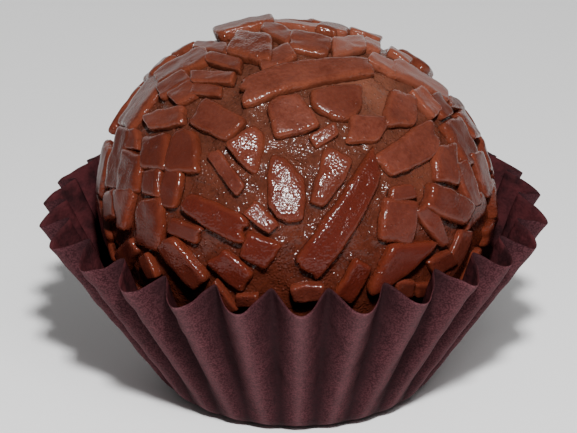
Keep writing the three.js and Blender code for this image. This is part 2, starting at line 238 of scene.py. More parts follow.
def skin_radius(direction):
    """Centre to skin: an ellipse above, a slacker oval below, lumps, and a flat base."""
    level = np.hypot(direction[..., 0], direction[..., 1])
    around = np.arctan2(direction[..., 1], direction[..., 0])
    height = direction[..., 2]
    power = np.where(height < 0, BALL_SLACK, 2)
    reach = np.where(height < 0, BALL_BELOW, BALL_ABOVE)
    oval = (level / BALL_SIDE) ** power + (np.abs(height) / reach) ** power
    swell = (np.sin(3 * around + 1.1) + np.sin(5 * around - 2 * height)) * level / 2
    lopsided = -BALL_LOPSIDED * direction[..., 0] * np.maximum(height, 0)
    radius = oval ** (-1 / power) * (1 + BALL_UNEVEN * (swell + lopsided))
    flat = (BALL_CENTRE[2] - PAPER - FLOOR_GAP) / np.maximum(-height, 1e-9)
    return np.minimum(radius, flat)


def ball_outline(height):
    """Half the width of the ball, flakes included, at heights above the floor."""
    offset = height - BALL_CENTRE[2]
    power = np.where(offset < 0, BALL_SLACK, 2)
    reach = np.where(offset < 0, BALL_BELOW, BALL_ABOVE)
    share = np.minimum(np.abs(offset) / reach, 1)
    return BALL_SIDE * (1 - share ** power) ** (1 / power) + FLAKE_REACH * pressed(offset / reach)


def lowness(direction):
    """0 on the upper ball to 1 low down, a straight fall with the height of the direction."""
    return np.clip((LOW_STARTS - direction[..., 2]) / (LOW_STARTS - LOW_ENDS), 0, 1)


print("the ball is", 2 * ball_outline(BALL_CENTRE[2]), "mm across with its flakes")

# %% [markdown]
# ## The form of the paper case
#
# A pressed paper cup starts as a flat disc, so its paper is as long at an outer
# ridge as at an inner fold. A ridge leans further out and therefore ends lower,
# which is why the rim of such a cup goes up and down. The wall is one surface: a
# curve from the floor up to a straight slope, whose lean swings between the
# ridge's and the fold's on the way round.

# %% Wall of the case
FLUTES = 26
FLOOR_RADIUS = 9.5
CORNER_LENGTH, SLANT_LENGTH = 3.2, 19.9
RIDGE_LEAN, FOLD_LEAN = math.radians(55.9), math.radians(64.6)
FOLD_ROUND = 0.16
FLUTE_PHASE, FLUTE_STRAY = math.radians(0.9), math.radians(1.7)
SWAY, WOBBLE = 0.014, 0.008
CASE_GAP, CASE_GIVE = 0.58, 0.3


def flute_shape(around):
    """0 at an inner fold to 1 at an outer ridge: a cosine's size, softened at the fold."""
    strayed = FLUTE_STRAY * np.cos(5 * around) * np.sin(around) ** 2
    wave = np.cos((around + strayed - FLUTE_PHASE) * FLUTES / 2)
    rounded = np.sqrt(wave ** 2 + FOLD_ROUND ** 2)
    return (rounded - FOLD_ROUND) / (math.sqrt(1 + FOLD_ROUND ** 2) - FOLD_ROUND)


def wall_points(around, climb):
    """An arc, then a slope, climb times as long as the wall, pushed out by the ball.

    The lean sways once round the case and wobbles seven times. The radius is the
    larger of the free wall's and the one that the ball leaves, rounded by CASE_GIVE.
    """
    crooked = SWAY * np.sin(around + 0.4) + WOBBLE * np.sin(around * 7 + 2)
    lean = FOLD_LEAN + (RIDGE_LEAN - FOLD_LEAN) * flute_shape(around) + crooked
    length = climb * SLANT_LENGTH
    curved = np.minimum(length, CORNER_LENGTH)
    straight = length - curved
    turned = lean * curved / CORNER_LENGTH
    bend = CORNER_LENGTH / lean
    free = FLOOR_RADIUS + bend * np.sin(turned) + straight * np.cos(lean)
    height = bend * (1 - np.cos(turned)) + straight * np.sin(lean)
    held = ball_outline(height) + CASE_GAP + PAPER
    radius = (free + held + np.hypot(free - held, CASE_GIVE)) / 2
    return np.stack([radius * np.sin(around), -radius * np.cos(around), height], -1)


# %% [markdown]
# The origin is under the middle of the whole. The rim of the case reaches furthest
# each way, so everything is shifted to bring the middle of the rim above it.

# %% Origin
rim = wall_points(np.linspace(0, 2 * np.pi, 5200), 1.0)
SHIFT = -(rim.max(0) + rim.min(0)) / 2 * (1, 1, 0)
print("everything is shifted by", np.round(SHIFT, 3), "mm")

# %% [markdown]
# ## The paper case
#
# Two copies of the wall a paper's thickness apart, joined at the rim and closed
# by a floor, make a real shell with an inside. The inner one is moved along the
# wall's normal, the cross product of two directions that lie in the wall, which
# keeps the cut of the rim square. The sheet is as thin as real paper. Real paper
# is also crumpled in upright creases, and its rim isn't cut evenly. Two marks tell
# the colours later which side of the paper a point is on, and how near a ridge.

# %% Build the case
CASE_COLUMNS, CASE_ROWS = FLUTES * 24, 44
CASE_SHEET = 0.08
CRUMPLE, CRUMPLE_SIZE, CRUMPLE_UPRIGHT = 0.045, 1.7, 0.35
RIM_RAGGED, RAGGED_SIZE, RIM_POWER = 0.07, 2.1, 8
case_turns = FLUTE_PHASE + 2 * np.pi * np.arange(CASE_COLUMNS) / CASE_COLUMNS


def case_faces():
    """The outer and inner face of the cup, as rows of points from the floor to the rim.

    The crumple grows over the first third of the wall, and squeezing the heights of
    its noise draws it out upwards. A high power keeps the uneven cut at the rim.
    """
    turn, climb = np.meshgrid(case_turns, np.linspace(0, 1, CASE_ROWS))
    step = 1e-4
    wall = wall_points(turn, climb)
    along = wall_points(turn + step, climb) - wall_points(turn - step, climb)
    upward = wall - wall_points(turn, climb - step)
    inward = unit(np.cross(upward, along))
    crease = lumps(wall * (1, 1, CRUMPLE_UPRIGHT), CRUMPLE_SIZE, seed=5) * np.minimum(3 * climb, 1)
    wall = wall + inward * (CRUMPLE * crease)[..., None]
    wall[..., 2] += climb ** RIM_POWER * RIM_RAGGED * lumps(wall, RAGGED_SIZE, seed=9)
    return wall + SHIFT, wall + inward * CASE_SHEET + SHIFT


outer_face, inner_face = case_faces()
case_rings = np.concatenate([outer_face, inner_face[::-1]])
inside = np.concatenate([np.zeros(outer_face.shape[:2]), np.ones(inner_face.shape[:2])])
ridge = np.tile(flute_shape(case_turns), (2 * CASE_ROWS, 1))
case_poles = np.array([(0, 0, 0), (0, 0, CASE_SHEET)])
case = make_piece("case_shell", np.concatenate([case_rings.reshape(-1, 3), case_poles]),
                  *ring_faces(2 * CASE_ROWS, CASE_COLUMNS),
                  inside=np.append(inside, [0, 1]), ridge=np.append(ridge, [0.5, 0.5]))
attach(case, "root")
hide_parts("paper_case")

# %% [markdown]
# ## The flakes
#
# The flakes are thin slabs of milk chocolate, broken into rough four-sided bits.
# The ones in front are listed one to a row of a table, as somebody looking at the
# sweet would describe them. The rest lie on an even spiral round the ball, each
# with its own size and turn, wherever there is room.

# %% Table of the flakes in front
# Middle across and up from the ball's centre, length, width at the first end and
# at the last, turn of the long side in degrees, and how far it stands out, in mm.
LAID_FLAKES = np.array([
    [1.1, 11.8, 11.8, 2.5, 1.7, 14.5, 0.8],
    [4.8, 0.05, 13.9, 2.9, 1.8, 57.5, 0.75],
    [-0.95, 1.55, 6.1, 2.9, 2.9, 90, 0.7],
    [2.95, 2.45, 5.0, 2.2, 2.8, 70, 0.7],
    [-3.8, 5.0, 3.4, 2.9, 2.9, -47, 0.6],
    [-3.05, -1.0, 2.9, 1.6, 1.2, -43, 0.6],
    [2.4, 6.15, 2.4, 1.3, 1.1, 30, 0.5],
    [-0.4, 8.1, 3.9, 3.2, 3.3, 17, 0.8],
    [3.6, 9.1, 4.6, 2.6, 3.2, 5, 0.7],
    [-6.95, 7.55, 4.5, 2.8, 2.7, -28, 0.8],
    [-6.15, 3.05, 4.2, 1.3, 1.25, -53, 0.7],
    [-7.55, -0.75, 6.4, 1.5, 2.5, -28, 0.8],
    [10.15, 4.95, 5.6, 2.5, 3.4, 30, 0.7],
    [6.35, 6.85, 3.6, 2.5, 2.5, 0, 0.6],
    [9.3, 8.6, 3.0, 2.6, 2.4, 80, 0.7],
    [11.3, 9.2, 2.8, 1.2, 1.2, -50, 0.7],
    [12.5, 8.8, 2.3, 0.9, 0.9, -60, 0.6],
    [13.8, 9.0, 1.6, 1.2, 1.0, 0, 0.7],
    [15.0, 7.2, 2.8, 1.4, 1.3, -60, 0.7],
    [11.0, 11.2, 5.7, 1.6, 1.5, -28, 0.7],
    [9.0, 13.1, 2.1, 0.9, 0.8, -38, 0.6],
    [7.5, 12.5, 2.6, 1.0, 1.1, -25, 0.6],
    [6.0, 15.0, 2.8, 0.9, 0.9, -18, 0.7],
    [4.6, 14.2, 2.9, 1.6, 1.5, 10, 0.7],
    [6.5, 14.1, 1.7, 1.2, 1.1, -20, 0.6],
    [1.0, 15.8, 6.5, 1.0, 1.0, -8, 0.6],
    [-4.6, 16.0, 5.0, 1.3, 1.2, 18, 1.0],
    [-4.0, 14.3, 3.5, 2.3, 2.3, -10, 1.1],
    [-1.7, 15.3, 2.6, 1.2, 1.1, -25, 0.7],
    [-1.75, 12.95, 3.2, 1.5, 1.7, 30, 0.7],
    [1.2, 14.3, 3.5, 1.6, 1.4, -10, 0.7],
    [-7.5, 14.0, 2.9, 1.0, 1.0, -8, 0.7],
    [-6.3, 12.7, 2.9, 1.1, 1.1, -15, 0.7],
    [-7.3, 11.3, 3.6, 1.1, 1.1, 0, 0.7],
    [-9.8, 13.7, 2.2, 1.0, 1.0, 30, 0.6],
    [-10.1, 12.4, 5.0, 1.2, 1.4, 30, 0.7],
    [-13.4, 9.8, 6.5, 2.0, 1.9, 55, 0.6],
    [-10.7, 10.7, 2.9, 1.2, 1.2, 35, 0.6],
    [-9.8, 9.9, 2.3, 1.5, 1.6, 35, 0.6],
    [-11.6, 7.7, 3.3, 1.5, 1.6, 10, 0.7],
    [-7.8, 10.1, 2.6, 1.2, 1.1, -5, 0.5],
    [-12.5, 4.8, 3.1, 2.2, 2.3, 90, 0.7],
    [-10.0, 4.9, 3.8, 3.0, 1.8, 90, 0.7],
    [-14.3, 5.8, 1.7, 1.1, 1.1, 90, 0.6],
    [-15.6, 4.2, 5.2, 1.3, 1.2, 75, 0.7],
    [-14.7, 3.0, 3.7, 1.9, 2.1, 80, 0.7],
    [-12.7, 2.1, 2.4, 1.8, 1.9, 90, 0.6],
    [-11.0, 1.6, 3.3, 1.6, 1.7, 80, 0.6],
    [-13.0, -1.5, 4.4, 2.4, 2.3, 88, 0.7],
    [-15.2, -0.2, 3.5, 0.8, 2.0, 90, 0.7],
    [-9.8, -2.1, 2.8, 1.4, 1.5, -20, 0.6],
    [-10.1, -5.0, 4.8, 1.8, 1.7, -50, 1.0],
    [-12.9, -5.2, 2.1, 0.8, 0.9, -65, 0.7],
    [-6.5, -8.0, 3.0, 1.1, 1.1, -55, 0.8],
    [-4.3, -8.2, 1.9, 1.2, 1.2, 0, 0.7],
    [-3.35, -3.9, 3.0, 2.4, 2.6, -25, 0.6],
    [-5.75, -5.55, 3.6, 2.0, 1.9, -42, 0.7],
    [0.9, -7.6, 2.7, 1.4, 1.4, 5, 1.0],
    [4.95, -6.6, 3.7, 1.8, 1.7, 60, 0.6],
    [9.0, -4.6, 7.2, 2.1, 3.1, 42, 0.9],
    [9.0, -1.3, 3.8, 3.1, 3.1, 82, 0.7],
    [9.2, 1.2, 2.2, 1.3, 1.3, 10, 0.6],
    [12.0, -1.7, 3.9, 1.8, 0.9, -60, 0.7],
    [13.7, 0.1, 4.1, 2.3, 2.1, -25, 1.1],
    [13.15, 3.75, 3.4, 2.0, 1.9, 90, 0.7],
    [14.6, 5.7, 4.3, 1.8, 1.6, -65, 0.7],
    [15.0, 2.0, 4.0, 1.2, 1.2, -72, 0.7],
    [9.4, -7.2, 1.7, 1.5, 1.5, 0, 0.6],
    [11.3, -7.3, 1.9, 1.3, 1.4, 0, 0.6],
    [12.7, -4.9, 2.3, 1.4, 1.4, 30, 0.6],
    [14.0, -4.3, 4.7, 1.1, 1.1, 66, 0.5],
    [16.3, 2.8, 3.9, 1.2, 0.9, -72, 0.7],
])
# The row of a flake with a broken corner, the direction that the break faces in
# degrees, and how far from the flake's middle it runs, in mm.
BREAKS = np.array([
    [1, 5, 2.95], [2, 46, 1.9], [2, 227, 2.2], [3, -41, 1.15], [4, -7, 0.75],
    [7, 36, 1.65], [8, -45, 1.85], [8, 238, 1.4], [9, -47, 1.95], [11, 135, 2.75],
    [12, -37, 1.9], [13, -37, 1.25], [59, 92, 1.3], [59, 154, 1.1],
])
print(len(LAID_FLAKES), "flakes are laid by hand,", len(BREAKS), "corners broken off")

# %% [markdown]
# A row of the table is turned into a place on the ball. Somebody in front and
# above sees what is nearer as larger, and what slopes away as shorter, so the
# true offsets are smaller and the true lengths longer than they look. The depth
# depends on the direction and the direction on the depth, and a few passes settle
# both.

# %% Lay the front flakes on the ball
FRONT_TILT = math.radians(23.3)
FRONT_DISTANCE = 294
MOST_OBLIQUE = 0.4
LAYING_PASSES = 5
ACROSS = np.array([1.0, 0.0, 0.0])
UPWARD = np.array([0.0, math.sin(FRONT_TILT), math.cos(FRONT_TILT)])
TOWARD = np.array([0.0, -math.cos(FRONT_TILT), math.sin(FRONT_TILT)])


def from_front(across, up, toward):
    """Across, up and toward the viewer in front, added up as one vector each."""
    return across[:, None] * ACROSS + up[:, None] * UPWARD + toward[:, None] * TOWARD


def lay_flakes(table):
    """Finds the direction, and the two sides in the skin, of each row of the table."""
    across, up, rise, turn = table[:, 0], table[:, 1], table[:, 6], np.radians(table[:, 5])
    toward = np.zeros(len(table))
    for _ in range(LAYING_PASSES):
        near = 1 - toward / FRONT_DISTANCE
        outward = unit(from_front(across * near, up * near, toward))
        radius = skin_radius(outward) + rise
        toward = np.sqrt(np.maximum(radius ** 2 - (np.hypot(across, up) * near) ** 2, 0))
    slope = np.maximum(outward @ TOWARD, MOST_OBLIQUE)

    def on_skin(angle):
        """The step along the skin that looks 1 mm long, at that angle, from in front."""
        flat = from_front(np.cos(angle), np.sin(angle), 0 * angle)
        fall = np.sum(flat * outward, -1) / slope
        return (flat - fall[:, None] * TOWARD) * near[:, None]

    return outward, on_skin(turn), on_skin(turn + np.pi / 2)


print("first flake faces", np.round(lay_flakes(LAID_FLAKES)[0][0], 2))

# %% [markdown]
# The scattered flakes sit on a spiral whose turn from one site to the next is the
# golden angle, which never lines up with itself and so covers a ball evenly, as
# the seeds of a sunflower cover its head. The draws come from a small generator
# of whole numbers, so that the same flakes lie in the same places every time.

# %% Scatter the others
FLAKE_SITES = 190
SITE_JITTER_HEIGHT, SITE_JITTER_AROUND = 0.03, 0.08
FLAKE_LENGTH, FLAKE_WIDTH, FLAKE_TAPER = (2.4, 5.2), (1.5, 3.0), (0.55, 1.05)
FLAKE_RISE, FLAKE_WAIST, FLAKE_SKEW = (0.55, 0.78), (1, 1.25), (-0.25, 0.25)
FLAKE_ROOM = 2.15
LAID_SIDE = 0.5
LOWEST_FLAKE = -0.6
DRAWS_LAID, DRAWS_SCATTERED = 4, 11


def seeded_draws(count, seed=20177):
    """Numbers from 0 to 1: each whole number is the last times 48271, modulo a prime."""
    values = []
    for _ in range(count):
        seed = seed * 48271 % 2147483647
        values.append(seed / 2147483647)
    return np.array(values)


def between(limits, share):
    """The value a share of the way from the first limit to the second."""
    return limits[0] + (limits[1] - limits[0]) * share


laid_count = DRAWS_LAID * len(LAID_FLAKES)
all_draws = seeded_draws(laid_count + DRAWS_SCATTERED * FLAKE_SITES)
laid_draws = all_draws[:laid_count].reshape(-1, DRAWS_LAID)
site_draws = all_draws[laid_count:].reshape(-1, DRAWS_SCATTERED)


def scatter_flakes(draws):
    """Directions on a golden-angle spiral, and two sides turned at random in the skin."""
    site = np.arange(len(draws))
    height = 1 - 2 * (site + 0.5) / len(draws) + (2 * draws[:, 0] - 1) * SITE_JITTER_HEIGHT
    around = site * np.pi * (3 - math.sqrt(5)) + (2 * draws[:, 1] - 1) * SITE_JITTER_AROUND
    level = np.sqrt(np.maximum(1 - height ** 2, 0))
    outward = np.stack([level * np.cos(around), level * np.sin(around), height], -1)
    east = np.stack([-np.sin(around), np.cos(around), 0 * around], -1)
    turn = np.pi * draws[:, 2][:, None]
    along = east * np.cos(turn) + np.cross(outward, east) * np.sin(turn)
    return outward, along, np.cross(outward, along)


laid, sites = lay_flakes(LAID_FLAKES), scatter_flakes(site_draws)
site_out = sites[0]
apart = BALL_SIDE * np.linalg.norm(unit(site_out)[:, None] - laid[0], axis=-1)
free = (apart.min(1) > FLAKE_ROOM) & (site_out @ TOWARD <= LAID_SIDE) & (site_out[:, 2] > LOWEST_FLAKE)
print(int(free.sum()), "flakes are scattered")

# %% [markdown]
# Now every flake is one row of a few arrays, whichever way it was placed, and all
# of them are shaped together.

# %% All flakes as arrays
draws = site_draws[free]
outward, along, aside = (np.concatenate([front, rest[free]]) for front, rest in zip(laid, sites))
length = np.append(LAID_FLAKES[:, 2], between(FLAKE_LENGTH, draws[:, 4]))
width = between(FLAKE_WIDTH, draws[:, 3])
first_width = np.append(LAID_FLAKES[:, 3], width)
last_width = np.append(LAID_FLAKES[:, 4], width * between(FLAKE_TAPER, draws[:, 5]))
rise = np.append(LAID_FLAKES[:, 6], between(FLAKE_RISE, draws[:, 6])) * pressed(outward[:, 2])
waist = between(FLAKE_WAIST, np.append(laid_draws[:, 2], draws[:, 9]))
skew = between(FLAKE_SKEW, np.append(laid_draws[:, 3], draws[:, 10]))
half_length, half_width = length / 2, (first_width + last_width) / 4
flake_count = len(length)
print(flake_count, "flakes in all, the longest", length.max(), "mm")

# %% [markdown]
# No flake lies quite flat. Most lean at random, and a few in front lean until they
# face half-way between the key lamp and the viewer, so they mirror the lamp. Along
# a side v that takes a slope of -(v.h) / (n.h), where n is the direction of the
# flake from the ball's centre and h is the direction half-way.

# %% Lean of the flakes
FLAKE_LEAN = 0.1
LIT_FLAKES = [2, 3, 4, 5, 6]
LIT_SHARE, LIT_MOST = 0.9, 0.38
lean = np.concatenate([laid_draws[:, :2], draws[:, 7:9]]) * 2 - 1
to_key = unit(KEY_PLACE - BALL_CENTRE)
half_way = unit(to_key + to_camera)
for side, vectors, half in ((0, along, half_length), (1, aside, half_width)):
    slope = -(vectors @ half_way) / (outward @ half_way)
    needed = LIT_SHARE * (slope * half)[LIT_FLAKES]
    lean[LIT_FLAKES, side] = np.clip(needed, -LIT_MOST, LIT_MOST) / FLAKE_LEAN
print(len(LIT_FLAKES), "flakes mirror the lamp")

# %% [markdown]
# Seen from above, a broken flake has straight sides and blunt corners. Six lines
# bound it: one at each end, and two on each long side that meet at its waist. Two
# more cut off the corners that the table names. For a direction e, line n.x = d is
# crossed at distance d / (n.e). Taking the nearest would give sharp corners, and a
# high power of all of them rounds the corners.

# %% Outline of a flake
CORNER_POWER = 11
FAR_OUTSIDE = 99.0
LEAST_WAIST = 1.06
LEAST_DISTANCE = 0.03


def side_lines():
    """Normals and distances of the six lines that bound each flake, in its own plane."""
    middle = 2 * half_width * np.maximum(waist, LEAST_WAIST)
    slanted = np.hypot(1, skew)
    ends_x, ends_y = [1 / slanted, -1 / slanted], [-skew / slanted] * 2
    normals = [np.stack(pair, -1) for pair in zip(ends_x, ends_y)]
    distances = [half_length / slanted] * 2
    for width, forward in ((last_width, 1), (first_width, -1)):
        run = np.hypot(half_length, (middle - width) / 2)
        across = forward * (middle - width) / 2 / run
        for side in (1, -1):
            normals.append(np.stack([across, side * half_length / run], -1))
            distances.append(half_length * middle / 2 / run)
    return np.stack(normals, 1), np.stack(distances, 1)


def break_lines():
    """Two more lines a flake, far outside it unless the table breaks a corner off there."""
    normals = np.tile([1.0, 0.0], (flake_count, 2, 1))
    distances = np.full((flake_count, 2), FAR_OUTSIDE)
    for place, (row, facing, distance) in enumerate(BREAKS):
        nth = np.count_nonzero(BREAKS[:place, 0] == row)
        offset = math.radians(facing - LAID_FLAKES[int(row), 5])
        normals[int(row), nth] = math.cos(offset), math.sin(offset)
        distances[int(row), nth] = distance
    return normals, distances


line_normals, line_distances = (
    np.concatenate(pair, 1) for pair in zip(side_lines(), break_lines()))


def outline_radius(heading, inset):
    """Centre to outline along each heading, with every line moved inwards by inset."""
    across = np.maximum(np.einsum("fkc,fac->fak", line_normals, heading), 1e-6)
    distance = np.maximum(line_distances - inset[:, None], LEAST_DISTANCE)[:, None]
    return np.sum((across / distance) ** CORNER_POWER, -1) ** (-1 / CORNER_POWER)


print("lines that bound each flake:", line_distances.shape[1])

# %% [markdown]
# The top of a short flake is a plane, and a long flake follows the ball along its
# length. The skin of a ball falls away from a plane by the square of the distance
# over twice the radius, so a flat top is lower than a bulging one in its middle by
# that much. Slow waves and the lean keep the tops from looking machined.

# %% Top of a flake
SHORT_FLAKE, BENT_FLAKE = 3.6, 9.0
LEAST_FLATNESS = 0.1
TOP_WAVES, TOP_WAVE_SIZE = 0.035, 1.5
TOP_SWELL, TOP_SWELL_SIZE = 0.04, 3.2


def flake_places(x, y):
    """Directions from the ball's centre to places x along and y aside of each flake."""
    middle = outward * skin_radius(outward)[:, None]
    points = middle[:, None] + along[:, None] * x[..., None] + aside[:, None] * y[..., None]
    return unit(points)


def top_radius(x, y, direction):
    """Centre to top, as skin, rise, lean, waves and flattening, and centre to skin."""
    half_x, half_y = half_length[:, None], half_width[:, None]
    size_x = np.linalg.norm(along, axis=-1, keepdims=True)
    size_y = np.linalg.norm(aside, axis=-1, keepdims=True)
    flatness = np.clip((BENT_FLAKE - length) / (BENT_FLAKE - SHORT_FLAKE), LEAST_FLATNESS, 1)
    flattening = flatness[:, None] * (x ** 2 - half_x ** 2) * size_x ** 2
    flattening = flattening + (y ** 2 - half_y ** 2) * size_y ** 2
    tilt = lean[:, :1] * x / half_x + lean[:, 1:] * y / half_y
    skin = skin_radius(direction)
    waves = TOP_WAVES * lumps(direction * BALL_SIDE, TOP_WAVE_SIZE, seed=31)
    waves = waves + TOP_SWELL * lumps(direction * BALL_SIDE, TOP_SWELL_SIZE, seed=33)
    level = FLAKE_LEAN * pressed(direction[..., 2]) * tilt + waves
    return skin + rise[:, None] + level + flattening / (2 * BALL_SIDE), skin


print("flakes longer than", BENT_FLAKE, "mm:", np.count_nonzero(length > BENT_FLAKE))

# %% [markdown]
# A flake is then a stack of rings of its outline: three in its flat top, four
# round its melted edge, and two down its side into the fudge. The edge is a
# quarter of a circle, so a ring at angle t of it is moved in by 1 - sin t and down
# by 1 - cos t of the edge's radius. The mark says how far round the edge a ring is.

# %% Rings of the flakes
FLAKE_COLUMNS = 60
FLAKE_EDGE, FLAKE_EDGE_MOST = 0.5, 0.44
FLAKE_SINK = 0.4
SIDE_WAVES, SIDE_WAVE_SIZE = 0.035, 1.3
TOP_RINGS = (0.42, 0.78)
EDGE_TURNS = np.radians([0, 25, 50, 72, 90])
SKIRT_OUT, SKIRT_RISE_SHARE, SKIRT_EDGE_SHARE = 0.1, 0.75, 0.2
SUNK_SHARE = 0.97


def shape_flakes():
    """Rings and poles of every flake at once, and for each point the mark of the edge."""
    tau = np.arange(FLAKE_COLUMNS) * 2 * np.pi / FLAKE_COLUMNS
    spread = np.stack([half_length[:, None] * np.cos(tau), half_width[:, None] * np.sin(tau)], -1)
    heading = unit(spread)
    edge = np.minimum(FLAKE_EDGE, FLAKE_EDGE_MOST * half_width)
    rim_places = flake_places(spread[..., 0], spread[..., 1]) * BALL_SIDE
    wave = 1 + SIDE_WAVES * lumps(rim_places, SIDE_WAVE_SIZE, seed=77)
    rings = []
    edge_marks = []

    def add_ring(share, inset, drop, mark, sunk=False):
        """A ring that is a share of the outline, moved in by inset and down by drop."""
        reach = outline_radius(heading, inset) * wave * share
        x, y = reach * heading[..., 0], reach * heading[..., 1]
        direction = flake_places(x, y)
        top, skin = top_radius(x, y, direction)
        bottom = skin - FLAKE_SINK
        radius = bottom if sunk else np.maximum(top - drop[:, None], bottom)
        rings.append(direction * radius[..., None])
        edge_marks.append(np.full(reach.shape, mark))

    for share in TOP_RINGS:
        add_ring(share, edge, 0 * edge, 0.0)
    for turn in EDGE_TURNS:
        add_ring(1, edge * (1 - math.sin(turn)), edge * (1 - math.cos(turn)), math.sin(turn))
    skirt_drop = rise * SKIRT_RISE_SHARE + edge * SKIRT_EDGE_SHARE
    add_ring(1, -SKIRT_OUT * edge, skirt_drop, 1.0)
    add_ring(SUNK_SHARE, 0 * edge, 0 * edge, 1.0, sunk=True)
    middle = np.zeros((flake_count, 1))
    centre = flake_places(middle, middle)
    top, skin = top_radius(middle, middle, centre)
    poles = np.concatenate([centre * top[..., None], centre * (skin - FLAKE_SINK)[..., None]], 1)
    return np.stack(rings, 1), poles, np.stack(edge_marks, 1)


flake_rings, flake_poles, flake_edges = shape_flakes()
print("rings of one flake:", flake_rings.shape[1], "with", FLAKE_COLUMNS, "points each")

# %% [markdown]
# No two flakes have quite the same colour. Most get a tone drawn at random, and
# painted shade makes it deeper the lower they lie. Those in front that differ from
# that are named by their row of the table: those on the left are darker as painted
# shade, and those on top and at the right are lighter as painted light. A rich
# flake is a deep red-brown, and a wet one is glossy all over, not only at its
# edges.

# %% Tone and wetness of each flake
# Flakes on the left are darkened as painted shade. The light ones on top and at the right, and the
# pale ones at the right of the crown, are lighter as painted light.
PAINTED_SHADE_FLAKES = [41, 42, 44, 45, 46, 47, 48, 50, 51, 52]
LIGHT_FLAKES = [0, 7, 12, 13, 14, 26]
PAINTED_LIGHT_FLAKES = [15, 19, 20, 21, 22, 23, 24, 25]
MIDDLING_FLAKES = [3, 8, 9, 10, 62, 63]
RICH_FLAKES = [1, 11, 55, 56, 58, 59]
WET_FLAKES = [1, 2, 3, 4, 5, 6, 11, 27, 51, 53, 54, 55, 56, 57, 58]
DRAWN_TONE, DRAWN_WETNESS = (0.1, 0.7), (0, 0.5)
LOWER_IS_SHADED, TONE_LEVEL = 0.6, 0.4
MIDDLING_TONE = 0.55
# A tone drawn at random, made deeper by painted shade the lower a flake lies.
tone = np.random.default_rng(4).uniform(*DRAWN_TONE, flake_count)
tone = np.clip(tone + LOWER_IS_SHADED * (TONE_LEVEL - outward[:, 2]), 0, 1)
tone[PAINTED_SHADE_FLAKES] = 1.0
tone[MIDDLING_FLAKES] = MIDDLING_TONE
tone[LIGHT_FLAKES] = 0.0
tone[PAINTED_LIGHT_FLAKES] = -1.0
rich = np.zeros(flake_count)
rich[RICH_FLAKES] = 1.0
wet = np.random.default_rng(6).uniform(*DRAWN_WETNESS, flake_count)
wet[WET_FLAKES] = 1.0
print("tones from", tone.min(), "to", tone.max(), "and", int(rich.sum()), "rich flakes")

# %% [markdown]
# The faces of one flake repeat for all, each time counted on by the number of
# points in a flake. One piece is kinder to Blender than more than a hundred
# objects, and the marks still tell the flakes apart.

# %% Join the flakes into one piece
flake_points = np.concatenate([flake_rings.reshape(flake_count, -1, 3), flake_poles], 1)
flake_points = flake_points + BALL_CENTRE + SHIFT
points_each = flake_points.shape[1]
one_quads, one_fans = ring_faces(flake_rings.shape[1], FLAKE_COLUMNS)
first_point = np.arange(flake_count)[:, None, None] * points_each
pole_edges = np.tile([0.0, 1.0], (flake_count, 1))
flakes = make_piece(
    "chocolate_flakes", flake_points.reshape(-1, 3),
    (one_quads + first_point).reshape(-1, 4), (one_fans + first_point).reshape(-1, 3),
    edge=np.concatenate([flake_edges.reshape(flake_count, -1), pole_edges], 1),
    tone=np.repeat(tone, points_each), rich=np.repeat(rich, points_each),
    wet=np.repeat(wet, points_each), low=lowness(unit(flake_points - BALL_CENTRE - SHIFT)))
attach(flakes, "root")
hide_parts("brigadeiro")

# %% [markdown]
# ## The fudge
#
# The fudge is sticky, so it climbs a little up the side of every flake, as water
# does at the side of a glass. Between the flakes its skin is lumpy. Both are small
# changes of the distance from the centre, added to the form of the ball. It would
# take too long to ask every flake about every place, so a flake is only asked
# about the places near it.

# %% Skin of the fudge
FUDGE_COLUMNS, FUDGE_RINGS = 400, 196
CLIMB_HEIGHT, CLIMB_WIDTH = 0.2, 0.25
CLIMB_SEARCH, CLIMB_FULL_RISE = 3, 0.6


def climbing(direction):
    """How far the fudge climbs: most at a flake's outline, dying away within CLIMB_WIDTH."""
    climb = np.zeros(len(direction))
    middles = outward * skin_radius(outward)[:, None]
    for flake in range(flake_count):
        facing = direction @ outward[flake]
        near = np.flatnonzero(facing > math.cos((length[flake] / 2 + CLIMB_SEARCH) / BALL_SIDE))
        scale = (middles[flake] @ outward[flake]) / facing[near]
        offset = direction[near] * scale[:, None] - middles[flake]
        sides = np.stack([along[flake], aside[flake]])
        place = offset @ sides.T @ np.linalg.inv(sides @ sides.T)
        beyond = np.max(place @ line_normals[flake].T - line_distances[flake], -1)
        height = CLIMB_HEIGHT * np.exp(-np.maximum(beyond, 0) / CLIMB_WIDTH)
        climb[near] = np.maximum(climb[near], height * min(1, rise[flake] / CLIMB_FULL_RISE))
    return climb


polar = np.linspace(0, np.pi, FUDGE_RINGS + 2)[1:-1, None]
turn = np.arange(FUDGE_COLUMNS) * 2 * np.pi / FUDGE_COLUMNS
fudge_ways = np.stack([np.sin(polar) * np.cos(turn), np.sin(polar) * np.sin(turn),
                       np.cos(polar) * np.ones_like(turn)], -1).reshape(-1, 3)
fudge_ways = np.concatenate([fudge_ways, [(0, 0, 1), (0, 0, -1)]])
print(len(fudge_ways), "places on the fudge")

# %% [markdown]
# The lumps come in three sizes, each with its own height, and die away towards the
# flat base. Two places on the front right are painted paler, as painted light from
# that side, most in their middle.

# %% Build the fudge
FUDGE_HOLLOW = 0.35
# Size and height of the lumps in mm, and the seed of their noise.
LUMP_SIZES = ((3.2, 0.08, 11), (1.1, 0.045, 12), (0.5, 0.016, 13))
BASE_LEVEL, BASE_BLEND = -0.9, 0.3
